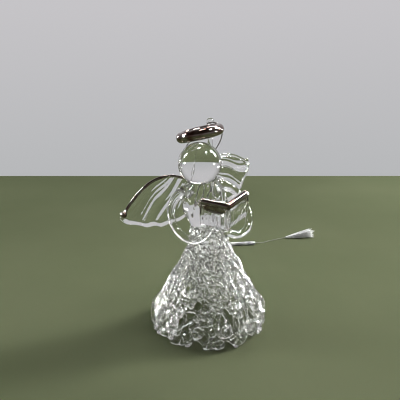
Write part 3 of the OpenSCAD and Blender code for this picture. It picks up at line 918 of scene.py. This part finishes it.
def add_skirt_row(number):
    """Small tight loops at the waist, wide open ones at the hem."""
    row = f"skirt_row_{number}"
    low, high = row_boxes[row][0][2], row_boxes[row][1][2]
    tall = high - low
    rng = np.random.default_rng(100 + number)
    shell = Shell()
    share = (number - 1) / (len(ROWS) - 1)
    thick = 0.34 + 0.2 * share
    wide = 2.0 + 2.6 * share ** 1.2
    lobe = LOBES.get(number, 0.0)
    lace_strand(shell, rng, low + 0.5 * tall, wide, tall * 1.2 + 0.4, thick, 0.35 + 0.45 * share,
                wide * 0.95, lobe)
    if number <= LAST_CLOSE_ROW:
        lace_strand(shell, rng, low + 0.15 * tall, wide * 0.55, tall * 0.5 + 0.3, thick * 0.75,
                    0.3 + 0.35 * share, wide * 0.7, lobe)
    if number == len(ROWS):
        add_hem_rod(shell, rng)
    if number >= FIRST_ROW_WITH_DROPS:
        add_drops(shell, rng, low, high, 9 + 3 * (number - FIRST_ROW_WITH_DROPS), thick)
    if number in ROSETTES:
        add_rosettes(shell, rng, number, 0.28 + 0.045 * (number - 4))
    obj = shell.object(f"lace_row_{number}")
    fuse(obj, lace_voxel(number))
    return piece(obj, SPUN, "spun_glass", row)


# ---------------------------------------------------------------- table and light

TABLE_HALF = 199.0         # the far edge of the table, from the skirt's axis
TABLE_DROP = 0.02          # the table top lies this far under the figure, so that no faces meet
# The photo's own table colour, which the clear glass shows. It is darker than a plain pale floor.
SAGE_DARK, SAGE_PALE = (0.0346, 0.0402, 0.0219), (0.0406, 0.0459, 0.0259)


def add_table():
    """A matt sage green table top, square to the camera."""
    material, tree, shader = new_material("sage_table")
    mottle = ranged(tree, noise_of(tree, 14, 4), 0.3, 0.7)
    tree.links.new(two_colours(tree, mottle, SAGE_DARK, SAGE_PALE), shader.inputs["Base Color"])
    tree.links.new(ranged(tree, noise_of(tree, 60, 4), 0.3, 0.7, 0.42, 0.55), shader.inputs["Roughness"])
    shader.inputs["Specular IOR Level"].default_value = 0.0
    bumped(tree, shader, noise_of(tree, 900, 3), 0.12, 0.0001)
    mesh = bpy.data.meshes.new("table_top")
    h = TABLE_HALF
    mesh.from_pydata([(-h, -h, 0), (h, -h, 0), (h, h, 0), (-h, h, 0)], [], [(0, 1, 2, 3)])
    mesh.transform(Matrix.Rotation(math.radians(-CAMERA_TURN), 4, "Z"))
    mesh.transform(Matrix.Translation((skirt_middle[0], skirt_middle[1], -TABLE_DROP)))
    mesh.transform(Matrix.Scale(MM, 4))
    obj = bpy.data.objects.new("table_top", mesh)
    mesh.materials.append(material)
    bpy.context.scene.collection.objects.link(obj)


# Two level directions as the camera sees them, and what the lamps are aimed at, in metres
AWAY = Vector((math.sin(math.radians(CAMERA_TURN)), math.cos(math.radians(CAMERA_TURN)), 0))
ACROSS = Vector((AWAY.y, -AWAY.x, 0))
FIGURE_AIM, SKIRT_AIM = Vector((0, 0, 0.03)), Vector((0, 0, -0.005))
SKIRT_BEAM = math.radians(12)

WALL_LOW, WALL_HIGH, CEILING = (0.46, 0.47, 0.48), (0.56, 0.55, 0.57), (0.12, 0.12, 0.13)
ROOM_SIDES, ROOM_NEAR_HIGH = (0.16, 0.155, 0.15), (0.035, 0.026, 0.02)


def add_world():
    """A soft room: a pale wall behind, darker sides and ceiling, and a dark warm patch high up, near."""
    world = bpy.data.worlds.new("room")
    bpy.context.scene.world = world
    world.use_nodes = True
    tree = world.node_tree
    background = tree.nodes["Background"]
    where = tree.nodes.new("ShaderNodeTexCoord")
    split = tree.nodes.new("ShaderNodeSeparateXYZ")
    tree.links.new(where.outputs["Generated"], split.inputs[0])
    away = tree.nodes.new("ShaderNodeVectorMath")
    away.operation = "DOT_PRODUCT"
    away.inputs[1].default_value = AWAY
    tree.links.new(where.outputs["Generated"], away.inputs[0])

    def blend(factor, first, second):
        mix = tree.nodes.new("ShaderNodeMix")
        mix.data_type = "RGBA"
        tree.links.new(factor, mix.inputs["Factor"])
        for socket, colour in (("A", first), ("B", second)):
            target = [i for i in mix.inputs if i.name == socket and i.type == "RGBA"][0]
            if isinstance(colour, tuple):
                target.default_value = (*colour, 1)
            else:
                tree.links.new(colour, target)
        return [o for o in mix.outputs if o.type == "RGBA"][0]

    height = split.outputs["Z"]
    wall = blend(ranged(tree, height, -0.25, 0.1), WALL_LOW, WALL_HIGH)
    high = blend(ranged(tree, height, 0.5, 0.85), wall, CEILING)
    side = ranged(tree, away.outputs["Value"], 0.85, 0.35)
    lit = blend(side, high, ROOM_SIDES)
    near = ranged(tree, away.outputs["Value"], 0.45, 0.0)
    above = ranged(tree, height, 0.2, 0.3)
    dark = tree.nodes.new("ShaderNodeMath")
    dark.operation = "MULTIPLY"
    tree.links.new(near, dark.inputs[0])
    tree.links.new(above, dark.inputs[1])
    room = blend(dark.outputs[0], lit, ROOM_NEAR_HIGH)
    tree.links.new(room, background.inputs["Color"])
    background.inputs["Strength"].default_value = 1.0


# Name, place across, away and up as the camera sees it, size, power and colour
PLAIN, COOL = (1, 1, 1), (0.95, 0.97, 1)
ROOM_LAMPS = (
    ("window", (0.42, 0.20, 0.36), (0.08, 0.30), 10.0, PLAIN),
    ("overhead", (-0.05, 0.08, 0.55), (0.16, 0.05), 1.2, PLAIN),
    ("near_top", (0.26, -0.09, 0.52), (0.12, 0.03), 1.6, PLAIN),
    ("overhead_far", (0.10, 0.40, 0.42), (0.24, 0.03), 1.9, PLAIN),
    ("side_panel", (-0.45, 0.12, 0.30), (0.05, 0.16), 1.9, COOL))
# These have narrow beams, unlike plain soft studio lamps, and bring out the lace.
SKIRT_LAMPS = (
    ("skirt_right", (0.50, -0.05, 0.045), (0.14, 0.08), 28, PLAIN),
    ("skirt_left", (-0.50, -0.02, 0.045), (0.14, 0.08), 27, PLAIN),
    ("skirt_far_right", (0.40, 0.37, 0.035), (0.14, 0.04), 33, PLAIN),
    ("skirt_far_left", (-0.40, 0.37, 0.035), (0.14, 0.04), 30, PLAIN))


def add_softbox(name, where, size, power, colour, aim):
    """A soft lamp that faces the aim."""
    data = bpy.data.lights.new(name, "AREA")
    data.shape = "RECTANGLE"
    data.size, data.size_y = size
    data.energy = power
    data.color = colour
    light = bpy.data.objects.new(name, data)
    place = ACROSS * where[0] + AWAY * where[1] + Vector((0, 0, where[2]))
    light.location = place
    light.rotation_mode = "QUATERNION"
    light.rotation_quaternion = (aim - place).to_track_quat("-Z", "Y")
    bpy.context.scene.collection.objects.link(light)
    return data


def add_lights():
    """The room's soft lamps, and low ones whose narrow beams fall on the lace."""
    for lamp in ROOM_LAMPS:
        add_softbox(*lamp, FIGURE_AIM)
    for lamp in SKIRT_LAMPS:
        data = add_softbox(*lamp, SKIRT_AIM)
        half = SKIRT_BEAM / 2
        data.spread = SKIRT_BEAM
        data.energy *= 1 - half / math.tan(half)     # as bright in its beam as a wide lamp


LIGHT_BOUNCES, MIRROR_BOUNCES = 32, 12      # the lace is many layers of glass deep


def set_view():
    scene = bpy.context.scene
    scene.view_settings.view_transform = "Standard"
    scene.cycles.filter_width = 1.1
    scene.cycles.max_bounces = LIGHT_BOUNCES
    scene.cycles.transmission_bounces = LIGHT_BOUNCES
    scene.cycles.glossy_bounces = MIRROR_BOUNCES
    scene.cycles.transparent_max_bounces = LIGHT_BOUNCES


# ---------------------------------------------------------------- the scene

add_camera()
add_thread()
add_head()
add_bodice()
add_waist()
add_arm("right_arm_rod", RIGHT_ARM, "right_arm", "right_hand")
add_arm("left_arm_rod", LEFT_ARM, "left_arm", "left_hand")
add_halo()
add_post()
add_eyelet()
add_leaf("right_page", -1, "book_right_leaf")
add_leaf("left_page", 1, "book_left_leaf")
add_rim("right_page_rim", -1, "book_right_rim", 4.4, True)
add_rim("left_page_rim", 1, "book_left_rim", 3.0, False)
add_spine()
RIGHT_WING = wing_place(-1, 17, 22)
LEFT_WING = wing_place(1, 24, 2)
add_wing("right_wing_blade", RIGHT_WING, 1.0, RIGHT_FEATHERS, RIGHT_FAN, "right_wing")
add_wing("left_wing_blade", LEFT_WING, 1.15, LEFT_FEATHERS, LEFT_FAN, "left_wing")
add_wing_rod("right_wing_edge", RIGHT_WING, MIRROR, "silvered_glass", "right_wing_rod",
             "right_wing_tip")
add_wing_rod("left_wing_edge", LEFT_WING, CLEAR, "clear_glass", "left_wing_rod", "left_wing_tip")
for number in range(1, len(ROWS) + 1):
    add_skirt_row(number)
add_table()
add_world()
add_lights()
set_view()
